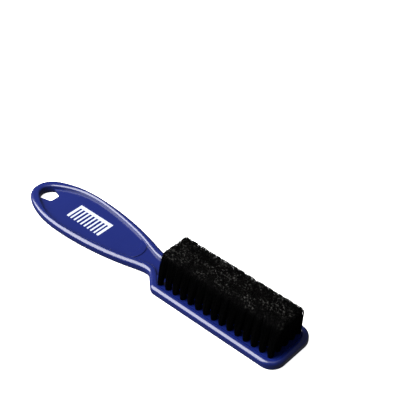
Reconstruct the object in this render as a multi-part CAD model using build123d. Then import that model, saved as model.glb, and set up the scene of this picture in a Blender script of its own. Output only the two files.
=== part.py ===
from build123d import *
from math import cos, radians, sin
import os

# Fade brush lying on its back: X runs from the hanging end to the head, Z up through the bristles.
# Millimetres throughout. Distances "from the handle end" are shifted by along() to the centre.

# --- moulded body: overall outline
LENGTH = 170.0
THICKNESS = 4.8
END_RADIUS = 9.6
END_ANGLE = 38.0
GRIP = [(5.0, 8.65), (10.0, 11.15), (20.0, 14.0), (33.0, 14.95), (55.0, 13.4), (74.0, 9.7),
        (80.5, 7.95)]
NECK_AT = 86.0
NECK_HALF = 6.95
FLARE_ANGLE = 42.0
FLARE_INNER_R = 5.0
FLARE_OUTER_R = 4.0
HEAD_HALF = 14.45
HEAD_CORNER_R = 7.4
TOP_EDGE_R = 1.7
BOTTOM_EDGE_R = 1.5

# --- rim bead: inner edge, from the hanging end to the neck and round the head
RIM_TIP = 4.7
RIM_TIP_R = 4.8
TIP_ANGLE = 50.0
RIM_INNER = [(9.2, 5.75), (14.2, 8.45), (20.5, 10.75), (31.0, 12.2),
             (45.0, 11.4), (64.4, 8.3), (73.0, 6.1), (79.5, 4.0)]
NECK_INNER = (86.0, 2.85)
CREASE_AT = 93.0
FLARE_INNER_AT = 92.0
FLARE_INNER_HALF = 5.5
FLOOR_GRIP = 1.0
HEAD_INNER_HALF = 10.85
HEAD_INNER_R = 4.0
SHOULDER_INNER_R = 3.0
RIM_INNER_FILLET = 1.15
BACK_FILLET = 0.9

# --- levels above the flat back
PANEL_Z = 4.3
RIB_Z = 3.6
NECK_Z = 3.2
WEB_TOP = 3.0
WEB_BOTTOM = 1.6

# --- rib that closes the oval grip panel
OVAL_CENTRE = 64.4
OVAL_R = 8.45
OVAL_CORNER_R = 2.0
RIB_CENTRE = 68.7
RIB_R = 7.9
RIB_FILLET = 0.3

# --- hanging hole
HOLE_FLAT = 14.1
HOLE_FLAT_HALF = 2.9
HOLE_WIDE = 3.5
HOLE_WIDE_HALF = 5.85
HOLE_ROUND_AT = 9.85
HOLE_ROUND_R = 4.9
HOLE_CORNER_R = 1.1

# --- bristle tufts and their anchors
ROWS = 15
ACROSS = 5
ROW_FIRST = 98.24
ROW_PITCH = 4.688
ACROSS_PITCH = 4.73
BORE_R = 1.28
BORE_FLOOR = 1.1
TUFT_R = 1.24
TUFT_FLOOR = 1.16
TUFT_TOP = 23.5
TUFT_FIRST_TOP = 100.7
TUFT_TOP_PITCH = 4.61
TUFT_TOP_ACROSS = 3.15
TUFT_TOP_HALF_X = 2.2
TUFT_TOP_HALF_Y = 1.48
TUFT_TIP_R = 0.5
ANCHOR_LONG = 3.2
ANCHOR_THICK = 0.3
ANCHOR_TALL = 1.5
ANCHOR_FLOOR = 1.75
ANCHOR_GAP = 0.03

# --- printed comb emblem on the grip panel
PRINT_AT = 39.7
PRINT_LENGTH = 23.0
PRINT_THICK = 0.06
SPINE_WIDTH = 1.9
SPINE_TOP = 5.2
TEETH = 10
TOOTH_WIDTH = 0.95
TOOTH_END_WIDTH = 1.5
TOOTH_TIP = -5.0


def along(distance):
    return distance - LENGTH / 2


def at(point):
    return (along(point[0]), point[1])


def curve(points, start, finish):
    """Smooth curve through the points with the given end directions."""
    return Spline(*points, tangents=(start, finish), tangent_scalars=(1, 1))


def closed(edges):
    """Face bounded by a half outline above the centre line and its mirror image."""
    half = Curve() + edges
    return make_face(half + mirror(half, Plane.XZ))


def body_outline():
    """Half outline: round hanging end, long grip, narrow neck, flared shoulder, square head."""
    a = radians(END_ANGLE)
    tip = (along(0), 0)
    end = (along(END_RADIUS * (1 - cos(a))), END_RADIUS * sin(a))
    mid = (along(END_RADIUS * (1 - cos(a / 2))), END_RADIUS * sin(a / 2))
    neck = (along(NECK_AT), NECK_HALF)
    cap = ThreePointArc(tip, mid, end)
    grip = curve([end, *[at(p) for p in GRIP], neck], (sin(a), cos(a)), (1, 0))

    f = radians(FLARE_ANGLE)
    rise = HEAD_HALF - NECK_HALF - (FLARE_INNER_R + FLARE_OUTER_R) * (1 - cos(f))
    bend = (neck[0] + FLARE_INNER_R * sin(f), NECK_HALF + FLARE_INNER_R * (1 - cos(f)))
    bend_mid = (neck[0] + FLARE_INNER_R * sin(f / 2), NECK_HALF + FLARE_INNER_R * (1 - cos(f / 2)))
    turn = (bend[0] + rise / sin(f) * cos(f), bend[1] + rise)
    shoulder = (turn[0] + FLARE_OUTER_R * sin(f), HEAD_HALF)
    turn_mid = (shoulder[0] - FLARE_OUTER_R * sin(f / 2), HEAD_HALF - FLARE_OUTER_R * (1 - cos(f / 2)))

    corner = (along(LENGTH) - HEAD_CORNER_R, HEAD_HALF)
    last = (along(LENGTH), HEAD_HALF - HEAD_CORNER_R)
    s = HEAD_CORNER_R * sin(radians(45))
    corner_mid = (corner[0] + s, last[1] + s)
    return [cap, grip,
            ThreePointArc(neck, bend_mid, bend), Line(bend, turn),
            ThreePointArc(turn, turn_mid, shoulder), Line(shoulder, corner),
            ThreePointArc(corner, corner_mid, last), Line(last, (last[0], 0))]


def rim_inner(grow=0.0):
    """Area inside the rim bead, all round; grow widens it into the bead."""
    f = radians(FLARE_ANGLE)
    a = radians(TIP_ANGLE)
    tip = (along(RIM_TIP) - grow, 0)
    radius = RIM_TIP_R + grow
    cap_mid = (tip[0] + radius * (1 - cos(a / 2)), radius * sin(a / 2))
    cap_end = (tip[0] + radius * (1 - cos(a)), radius * sin(a))
    sides = [(along(x), y + grow) for x, y in [*RIM_INNER, NECK_INNER]]
    start = (along(FLARE_INNER_AT), FLARE_INNER_HALF + grow)
    rise = HEAD_INNER_HALF + grow - start[1] - SHOULDER_INNER_R * (1 - cos(f))
    turn = (start[0] + rise / sin(f) * cos(f), start[1] + rise)
    side = (turn[0] + SHOULDER_INNER_R * sin(f), HEAD_INNER_HALF + grow)
    turn_mid = (side[0] - SHOULDER_INNER_R * sin(f / 2), side[1] - SHOULDER_INNER_R * (1 - cos(f / 2)))
    end = along(LENGTH) - (HEAD_HALF - HEAD_INNER_HALF) + grow
    corner = (end - HEAD_INNER_R, side[1])
    last = (end, side[1] - HEAD_INNER_R)
    s = HEAD_INNER_R * sin(radians(45))
    return closed([ThreePointArc(tip, cap_mid, cap_end),
                   curve([cap_end, *sides], (sin(a), cos(a)), (1, 0)),
                   curve([sides[-1], start], (1, 0), (cos(f), sin(f))),
                   Line(start, turn), ThreePointArc(turn, turn_mid, side), Line(side, corner),
                   ThreePointArc(corner, (corner[0] + s, last[1] + s), last), Line(last, (end, 0))])


def slab(face, low, high):
    return Pos(0, 0, low) * extrude(face, high - low, dir=(0, 0, 1))


def band(low, high):
    """Strip across the whole brush between two distances from the handle end."""
    return Pos(along((low + high) / 2)) * Rectangle(high - low, 3 * HEAD_HALF)


def disc(centre, radius):
    return Pos(along(centre)) * Circle(radius)


def level_faces(body, height):
    flat = body.faces().filter_by(Axis.Z)
    return flat.filter_by(lambda face: abs(face.center().Z - height) < 0.01)


def round_over(body, height, radius):
    """Rounds the edge where the flat rim at this height drops into its recess."""
    rim = level_faces(body, height)[0]
    return fillet(rim.inner_wires()[0].edges(), radius)


def row_x(row):
    return along(ROW_FIRST + ROW_PITCH * row)


def across_y(column):
    return ACROSS_PITCH * (column - (ACROSS - 1) / 2)


def anchor_plate(row, column, gap=0.0):
    size = (ANCHOR_LONG + 2 * gap, ANCHOR_THICK + 2 * gap, ANCHOR_TALL + 2 * gap)
    spot = Pos(row_x(row), across_y(column), ANCHOR_FLOOR + ANCHOR_TALL / 2)
    return spot * Rot(0, 0, 45) * Box(*size)


def tuft(row, column):
    """One bundle: round in its bore, spreading and leaning until it meets its neighbours."""
    root = Pos(row_x(row), across_y(column)) * Circle(TUFT_R)
    top_x = along(TUFT_FIRST_TOP + TUFT_TOP_PITCH * row)
    top_y = TUFT_TOP_ACROSS * (column - (ACROSS - 1) / 2)
    tip = Pos(top_x, top_y, TUFT_TOP) * Ellipse(TUFT_TOP_HALF_X, TUFT_TOP_HALF_Y)
    fan = loft([Pos(0, 0, PANEL_Z) * root, tip])
    fan = fillet(fan.edges().sort_by(Axis.Z)[-1], TUFT_TIP_R)
    return fan + slab(root, TUFT_FLOOR, PANEL_Z) - anchor_plate(row, column, ANCHOR_GAP)


def hanging_hole():
    """Keystone window through the web: flat inner side, round outer side under the rim."""
    wedge = Polygon(at((HOLE_FLAT, HOLE_FLAT_HALF)), at((HOLE_FLAT, -HOLE_FLAT_HALF)),
                    at((HOLE_WIDE, -HOLE_WIDE_HALF)), at((HOLE_WIDE, HOLE_WIDE_HALF)), align=None)
    window = Sketch() + (wedge & disc(HOLE_ROUND_AT, HOLE_ROUND_R))
    return fillet(window.vertices().group_by(Axis.X)[-1], HOLE_CORNER_R)


def brush_body():
    outline = closed(body_outline())
    body = extrude(outline, THICKNESS)
    body = fillet(body.edges().group_by(Axis.Z)[-1], TOP_EDGE_R)
    body = fillet(body.edges().group_by(Axis.Z)[0], BOTTOM_EDGE_R)

    inside = rim_inner()
    body -= slab(inside, WEB_TOP, THICKNESS + 1)
    body = round_over(body, THICKNESS, RIM_INNER_FILLET)

    wide = rim_inner(FLOOR_GRIP)
    before_rib = disc(OVAL_CENTRE, OVAL_R) + band(-50, OVAL_CENTRE)
    after_rib = band(RIB_CENTRE, CREASE_AT) - disc(RIB_CENTRE, RIB_R)
    head = band(CREASE_AT, LENGTH + 50)
    low = WEB_TOP - FLOOR_GRIP / 2
    body += slab(wide & head, low, PANEL_Z)
    body += slab(wide & after_rib, low, NECK_Z)
    body += slab(wide - before_rib - after_rib - head, low, RIB_Z)
    rib = level_faces(body, RIB_Z)[0]
    body = fillet(rib.edges().filter_by(GeomType.CIRCLE), RIB_FILLET)

    oval = inside & before_rib
    oval = fillet(oval.vertices().group_by(Axis.X)[-1], OVAL_CORNER_R)
    body -= slab(oval, -1, WEB_BOTTOM)
    body = round_over(body, 0, BACK_FILLET)
    body -= slab(hanging_hole(), -1, THICKNESS + 1)
    return body


def printed_mark():
    """Generic comb pictogram: spine, fine teeth and two guard teeth."""
    left = along(PRINT_AT) - PRINT_LENGTH / 2
    spine = Pos(along(PRINT_AT), SPINE_TOP - SPINE_WIDTH / 2) * Rectangle(PRINT_LENGTH, SPINE_WIDTH)
    mark = Sketch() + spine
    long = SPINE_TOP - SPINE_WIDTH / 2 - TOOTH_TIP
    pitch = (PRINT_LENGTH - TOOTH_END_WIDTH) / (TEETH - 1)
    for tooth in range(TEETH):
        wide = TOOTH_END_WIDTH if tooth in (0, TEETH - 1) else TOOTH_WIDTH
        x = left + TOOTH_END_WIDTH / 2 + pitch * tooth
        mark += Pos(x, TOOTH_TIP + long / 2) * Rectangle(wide, long)
    return slab(mark, WEB_TOP, WEB_TOP + PRINT_THICK)


def main():
    os.makedirs("parts", exist_ok=True)
    body = brush_body()
    bores = []
    seats = []
    for row in range(ROWS):
        for column in range(ACROSS):
            spot = Pos(row_x(row), across_y(column), (BORE_FLOOR + PANEL_Z + 1) / 2)
            bores.append(spot * Cylinder(BORE_R, PANEL_Z + 1 - BORE_FLOOR))
            seats.append(anchor_plate(row, column))
    body = body.cut(*bores, *seats)
    export_step(body, "parts/brush_body.step")
    for row in range(ROWS):
        tufts = [tuft(row, column) for column in range(ACROSS)]
        export_step(Compound(tufts), f"parts/tuft_row_{row + 1:02d}.step")
        plates = [anchor_plate(row, column) for column in range(ACROSS)]
        export_step(Compound(plates), f"parts/anchor_row_{row + 1:02d}.step")
    export_step(printed_mark(), "parts/printed_mark.step")


main()
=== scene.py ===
import math
import random

import bpy
import mathutils
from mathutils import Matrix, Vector


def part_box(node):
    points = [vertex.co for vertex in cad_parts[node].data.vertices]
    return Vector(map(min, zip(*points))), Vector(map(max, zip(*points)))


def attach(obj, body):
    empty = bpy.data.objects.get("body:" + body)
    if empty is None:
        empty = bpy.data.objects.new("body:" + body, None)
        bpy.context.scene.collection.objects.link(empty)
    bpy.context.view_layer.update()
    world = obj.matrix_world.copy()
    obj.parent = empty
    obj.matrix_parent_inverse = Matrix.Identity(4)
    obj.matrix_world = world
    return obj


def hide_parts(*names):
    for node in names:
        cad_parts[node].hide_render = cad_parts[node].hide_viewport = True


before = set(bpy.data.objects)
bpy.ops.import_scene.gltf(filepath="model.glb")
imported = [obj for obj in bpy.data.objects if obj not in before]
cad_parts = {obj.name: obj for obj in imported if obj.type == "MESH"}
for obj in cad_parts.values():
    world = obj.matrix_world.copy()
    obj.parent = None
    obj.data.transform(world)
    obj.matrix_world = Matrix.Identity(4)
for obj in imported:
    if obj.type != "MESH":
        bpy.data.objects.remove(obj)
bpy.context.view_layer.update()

# Fade brush lying on its back, bristles up. Metres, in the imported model's frame.
MM = 0.001

# --- layout of the tufts, as in the model
ROWS = 15
ACROSS = 5
BORE_RADIUS = 1.24 * MM
HEAD_LEVEL = 4.3 * MM
TOP_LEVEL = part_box("tuft_row_01")[1][2]
FIRST_ROOT_X = 13.24 * MM
ROOT_PITCH_X = 4.688 * MM
ROOT_PITCH_Y = 4.73 * MM
FIRST_TOP_X = 15.70 * MM
TOP_PITCH_X = 4.61 * MM
TOP_PITCH_Y = 3.15 * MM

# --- filaments
FILAMENTS = 250
FILAMENT_RADIUS = 0.10 * MM
FILAMENT_SIDES = 4
FILAMENT_STEPS = 7
TAPER = 0.3
ROOT_DEPTH = 0.6 * MM
ROOT_BULGE = 0.32 * MM
BULGE_LEVEL = 0.06
BOW = 0.15 * MM
SPLAY = 1.4
STEP_GROWTH = 1.5
TOP_SPREAD = 1.10
LENGTH_SCATTER = 0.55 * MM
TIP_SCATTER = 0.16 * MM
EDGE_ROUND = 1.5 * MM
EDGE_FALL = 0.55
EDGE_LIMIT = 1.2
CLUMP_SIZE = 2.6 * MM
CLUMP_DEPTH = 0.5 * MM

# --- camera and light
TARGET = Vector((-8.95, 48.67, 0.0)) * MM
CAMERA = Vector((258.8, -245.3, 335.2)) * MM
LENS = 88.05
SOFTBOXES = (
    # name, direction from the brush, distance, side, radiance
    ("key", (-0.52, -0.48, 0.70), 0.9, 1.10, 8.6),
    ("overhead", (0.05, -0.10, 1.0), 1.1, 0.9, 1.0),
)
ROOM_LIGHT = 0.10
FLOOR_SIZE = 6.0


def camera():
    data = bpy.data.cameras.new("camera")
    data.lens = LENS
    data.sensor_width = 36.0
    data.clip_start = 0.01
    data.clip_end = 20.0
    eye = bpy.data.objects.new("camera", data)
    eye.location = CAMERA
    eye.rotation_euler = (TARGET - CAMERA).to_track_quat("-Z", "Y").to_euler()
    bpy.context.scene.collection.objects.link(eye)
    bpy.context.scene.camera = eye


def link_object(name, mesh):
    piece = bpy.data.objects.new(name, mesh)
    bpy.context.scene.collection.objects.link(piece)
    return piece


class Nodes:
    """Small helper for building one material's node tree."""

    def __init__(self, name):
        self.material = bpy.data.materials.new(name)
        self.material.use_nodes = True
        self.tree = self.material.node_tree
        self.shader = self.tree.nodes["Principled BSDF"]

    def add(self, kind, **settings):
        node = self.tree.nodes.new(kind)
        for key, value in settings.items():
            if key in node.inputs:
                node.inputs[key].default_value = value
            else:
                setattr(node, key, value)
        return node

    def link(self, source, target):
        self.tree.links.new(source, target)

    def set(self, **values):
        for key, value in values.items():
            self.shader.inputs[key.replace("_", " ")].default_value = value


def ramp(nodes, factor, low, high, start=0.0, end=1.0):
    node = nodes.add("ShaderNodeValToRGB")
    node.color_ramp.elements[0].position = start
    node.color_ramp.elements[0].color = (*low, 1)
    node.color_ramp.elements[1].position = end
    node.color_ramp.elements[1].color = (*high, 1)
    nodes.link(factor, node.inputs["Fac"])
    return node.outputs["Color"]


def noise(nodes, scale, detail=2.0, rough=0.5):
    place = nodes.add("ShaderNodeTexCoord")
    node = nodes.add("ShaderNodeTexNoise", Scale=scale, Detail=detail, Roughness=rough)
    nodes.link(place.outputs["Object"], node.inputs["Vector"])
    return node.outputs["Fac"]


def map_range(nodes, value, low, high, start=0.0, end=1.0):
    node = nodes.add("ShaderNodeMapRange")
    node.inputs["From Min"].default_value = start
    node.inputs["From Max"].default_value = end
    node.inputs["To Min"].default_value = low
    node.inputs["To Max"].default_value = high
    nodes.link(value, node.inputs["Value"])
    return node.outputs["Result"]


def multiply(nodes, first, second):
    node = nodes.add("ShaderNodeMath", operation="MULTIPLY")
    nodes.link(first, node.inputs[0])
    nodes.link(second, node.inputs[1])
    return node.outputs["Value"]


def bump(nodes, height, strength, distance):
    node = nodes.add("ShaderNodeBump", Strength=strength, Distance=distance)
    nodes.link(height, node.inputs["Height"])
    nodes.link(node.outputs["Normal"], nodes.shader.inputs["Normal"])


def plastic():
    """Glossy moulded royal blue plastic: faint flow mottling, fine orange peel, handling haze."""
    nodes = Nodes("blue_plastic")
    flow = noise(nodes, 35.0, 3.0)
    colour = ramp(nodes, flow, (0.0042, 0.0098, 0.092), (0.0054, 0.0120, 0.104), 0.3, 0.7)
    nodes.link(colour, nodes.shader.inputs["Base Color"])
    gloss = map_range(nodes, noise(nodes, 160.0, 4.0, 0.6), 0.20, 0.27)
    nodes.link(gloss, nodes.shader.inputs["Roughness"])
    bump(nodes, noise(nodes, 900.0, 2.0), 0.02, 0.0001)
    nodes.set(IOR=1.5, Specular_IOR_Level=0.5, Coat_Weight=0.55, Coat_Roughness=0.12)
    return nodes.material


def bristle():
    """Black nylon: near-black shafts, a scatter of paler tips near the top that are painted highlights on
    the cut ends, satin sheen.
    """
    nodes = Nodes("black_nylon")
    place = nodes.add("ShaderNodeTexCoord")
    split = nodes.add("ShaderNodeSeparateXYZ")
    nodes.link(place.outputs["Object"], split.inputs["Vector"])
    # Painted highlight: near the top of the block the colour is lightened in specks and patches, standing
    # for light glinting off the cut ends.
    tip = map_range(nodes, split.outputs["Z"], 0.0, 1.0, TOP_LEVEL - 2.5 * MM, TOP_LEVEL - 0.3 * MM)
    speck = map_range(nodes, noise(nodes, 1100.0, 1.0), 0.0, 1.0, 0.56, 0.66)
    patch = map_range(nodes, noise(nodes, 230.0), 0.12, 1.0, 0.44, 0.60)
    tip_highlight = multiply(nodes, tip, multiply(nodes, speck, patch))
    # The pale grey end of this ramp is the painted highlight colour of the lit tips.
    colour = ramp(nodes, tip_highlight, (0.0010, 0.0010, 0.0011), (0.085, 0.085, 0.080))
    nodes.link(colour, nodes.shader.inputs["Base Color"])
    rough = map_range(nodes, noise(nodes, 900.0, 1.0), 0.40, 0.60)
    nodes.link(rough, nodes.shader.inputs["Roughness"])
    nodes.set(IOR=1.40, Specular_IOR_Level=0.03)
    return nodes.material


def steel():
    """Drawn strip of the anchor plates: bright steel with fine lengthwise scratches."""
    nodes = Nodes("anchor_steel")
    scratch = noise(nodes, 1500.0, 3.0)
    colour = ramp(nodes, scratch, (0.42, 0.42, 0.43), (0.62, 0.62, 0.63))
    nodes.link(colour, nodes.shader.inputs["Base Color"])
    bump(nodes, scratch, 0.2, 0.00005)
    nodes.set(Metallic=1.0, Roughness=0.32)
    return nodes.material


def ink():
    """Pad-printed white ink: slightly uneven cover over the blue, satin."""
    nodes = Nodes("white_ink")
    cover = noise(nodes, 1200.0, 4.0, 0.65)
    colour = ramp(nodes, cover, (0.40, 0.45, 0.58), (0.50, 0.54, 0.62), 0.25, 0.55)
    nodes.link(colour, nodes.shader.inputs["Base Color"])
    bump(nodes, cover, 0.15, 0.00003)
    nodes.set(Roughness=0.42)
    return nodes.material


def floor_material():
    """Plain white sweep, evenly bright."""
    nodes = Nodes("pale_floor")
    colour = ramp(nodes, noise(nodes, 3.0), (0.93, 0.93, 0.93), (0.95, 0.95, 0.95))
    nodes.link(colour, nodes.shader.inputs["Base Color"])
    nodes.set(Roughness=0.9, Specular_IOR_Level=0.0, Emission_Color=(1, 1, 1, 1), Emission_Strength=1.0)
    return nodes.material


def dress(piece, material):
    piece.data.materials.clear()
    piece.data.materials.append(material)


def root_of(row, column):
    return Vector((FIRST_ROOT_X + ROOT_PITCH_X * row, ROOT_PITCH_Y * (column - 2), HEAD_LEVEL))


def top_of(row, column):
    return Vector((FIRST_TOP_X + TOP_PITCH_X * row, TOP_PITCH_Y * (column - 2), TOP_LEVEL))


def edge_drop(x, y):
    """How far the trimmed top rounds off towards the sides and ends of the block."""
    middle = FIRST_TOP_X + TOP_PITCH_X * (ROWS - 1) / 2
    inset_x = TOP_PITCH_X * ROWS / 2 - abs(x - middle)
    inset_y = TOP_PITCH_Y * ACROSS / 2 - abs(y)
    drop = 0.0
    for inset in (inset_x, inset_y):
        short = max(0.0, EDGE_ROUND - inset) / EDGE_ROUND
        drop += EDGE_ROUND * EDGE_FALL * min(short, EDGE_LIMIT) ** 2
    return drop


def bend_levels(panel):
    """Fractions of a bristle's length where it bends: at its root, at the panel, then upwards."""
    upper = FILAMENT_STEPS - 1
    return [0.0] + [panel + (1 - panel) * (step / upper) ** STEP_GROWTH for step in range(FILAMENT_STEPS)]


def filament_line(root, top, chance):
    """Centre line of one bristle: out of the bore, swelling just above it, splaying to its own tip."""
    angle = chance.uniform(0, 2 * math.pi)
    reach = math.sqrt(chance.random())
    aim = Vector((math.cos(angle), math.sin(angle), 0))
    start = root + aim * reach * (BORE_RADIUS - FILAMENT_RADIUS)
    start.z -= ROOT_DEPTH
    spread = reach / max(abs(aim.x), abs(aim.y)) * TOP_SPREAD / 2
    end = top + Vector((aim.x * TOP_PITCH_X * spread, aim.y * TOP_PITCH_Y * spread, 0))
    end.x += chance.gauss(0, TIP_SCATTER)
    end.y += chance.gauss(0, TIP_SCATTER)
    clump = mathutils.noise.noise(end / CLUMP_SIZE)
    end.z -= edge_drop(end.x, end.y) + abs(chance.gauss(0, LENGTH_SCATTER)) * (0.6 + clump)
    end.z -= max(0.0, clump) * CLUMP_DEPTH
    bow = Vector((chance.gauss(0, BOW), chance.gauss(0, BOW), 0))
    panel = ROOT_DEPTH / (end.z - start.z)
    points = []
    for t in bend_levels(panel):
        point = start.lerp(end, t)
        ease = t ** SPLAY
        point.x = start.x + (end.x - start.x) * ease
        point.y = start.y + (end.y - start.y) * ease
        bulge = min(1.0, max(0.0, t - panel) / BULGE_LEVEL) * (1 - t)
        points.append(point + bow * math.sin(math.pi * t) + aim * reach * ROOT_BULGE * bulge)
    return points


def tuft_row(row, material):
    """All the filaments of one row of tufts, as one mesh of fine tapered strands."""
    chance = random.Random(100 + row)
    vertices = []
    faces = []
    for column in range(ACROSS):
        root = root_of(row, column)
        top = top_of(row, column)
        for _ in range(FILAMENTS):
            line = filament_line(root, top, chance)
            turn = chance.uniform(0, math.pi)
            first = len(vertices)
            for step, point in enumerate(line):
                radius = FILAMENT_RADIUS * (1 - TAPER * step / FILAMENT_STEPS)
                for side in range(FILAMENT_SIDES):
                    a = turn + 2 * math.pi * side / FILAMENT_SIDES
                    vertices.append(point + Vector((math.cos(a), math.sin(a), 0)) * radius)
            for step in range(FILAMENT_STEPS):
                low = first + step * FILAMENT_SIDES
                for side in range(FILAMENT_SIDES):
                    nxt = (side + 1) % FILAMENT_SIDES
                    faces.append((low + side, low + nxt, low + FILAMENT_SIDES + nxt,
                                  low + FILAMENT_SIDES + side))
            last = first + FILAMENT_STEPS * FILAMENT_SIDES
            faces.append(tuple(last + s for s in range(FILAMENT_SIDES)))
            faces.append(tuple(first + s for s in reversed(range(FILAMENT_SIDES))))
    name = f"bristles_{row + 1:02d}"
    mesh = bpy.data.meshes.new(name)
    mesh.from_pydata(vertices, [], faces)
    mesh.polygons.foreach_set("use_smooth", [True] * len(mesh.polygons))
    piece = link_object(name, mesh)
    dress(piece, material)
    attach(piece, "root")
    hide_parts(f"tuft_row_{row + 1:02d}")


def floor():
    bpy.ops.mesh.primitive_plane_add(size=FLOOR_SIZE, location=(0, 0, 0))
    ground = bpy.context.object
    ground.name = "floor"
    dress(ground, floor_material())
    ground.visible_diffuse = False
    ground.visible_glossy = False


def softbox(name, direction, distance, size, radiance):
    """Square soft light in a given direction from the object, set by how bright its face looks."""
    data = bpy.data.lights.new(name, "AREA")
    data.size = size
    data.energy = radiance * math.pi * size * size
    lamp = bpy.data.objects.new(name, data)
    lamp.location = Vector(direction).normalized() * distance
    lamp.rotation_euler = (-lamp.location).to_track_quat("-Z", "Y").to_euler()
    bpy.context.scene.collection.objects.link(lamp)


def lights():
    """Large softbox over the handle's near side, a weaker one overhead, and a dim room."""
    for softbox_values in SOFTBOXES:
        softbox(*softbox_values)
    world = bpy.data.worlds.new("studio")
    world.use_nodes = True
    world.node_tree.nodes["Background"].inputs["Color"].default_value = (1, 1, 1, 1)
    world.node_tree.nodes["Background"].inputs["Strength"].default_value = ROOM_LIGHT
    bpy.context.scene.world = world


def main():
    camera()
    floor()
    lights()
    dress(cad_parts["brush_body"], plastic())
    dress(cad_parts["printed_mark"], ink())
    metal = steel()
    nylon = bristle()
    for row in range(ROWS):
        dress(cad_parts[f"anchor_row_{row + 1:02d}"], metal)
        tuft_row(row, nylon)
    bpy.context.scene.view_settings.view_transform = "Standard"


main()
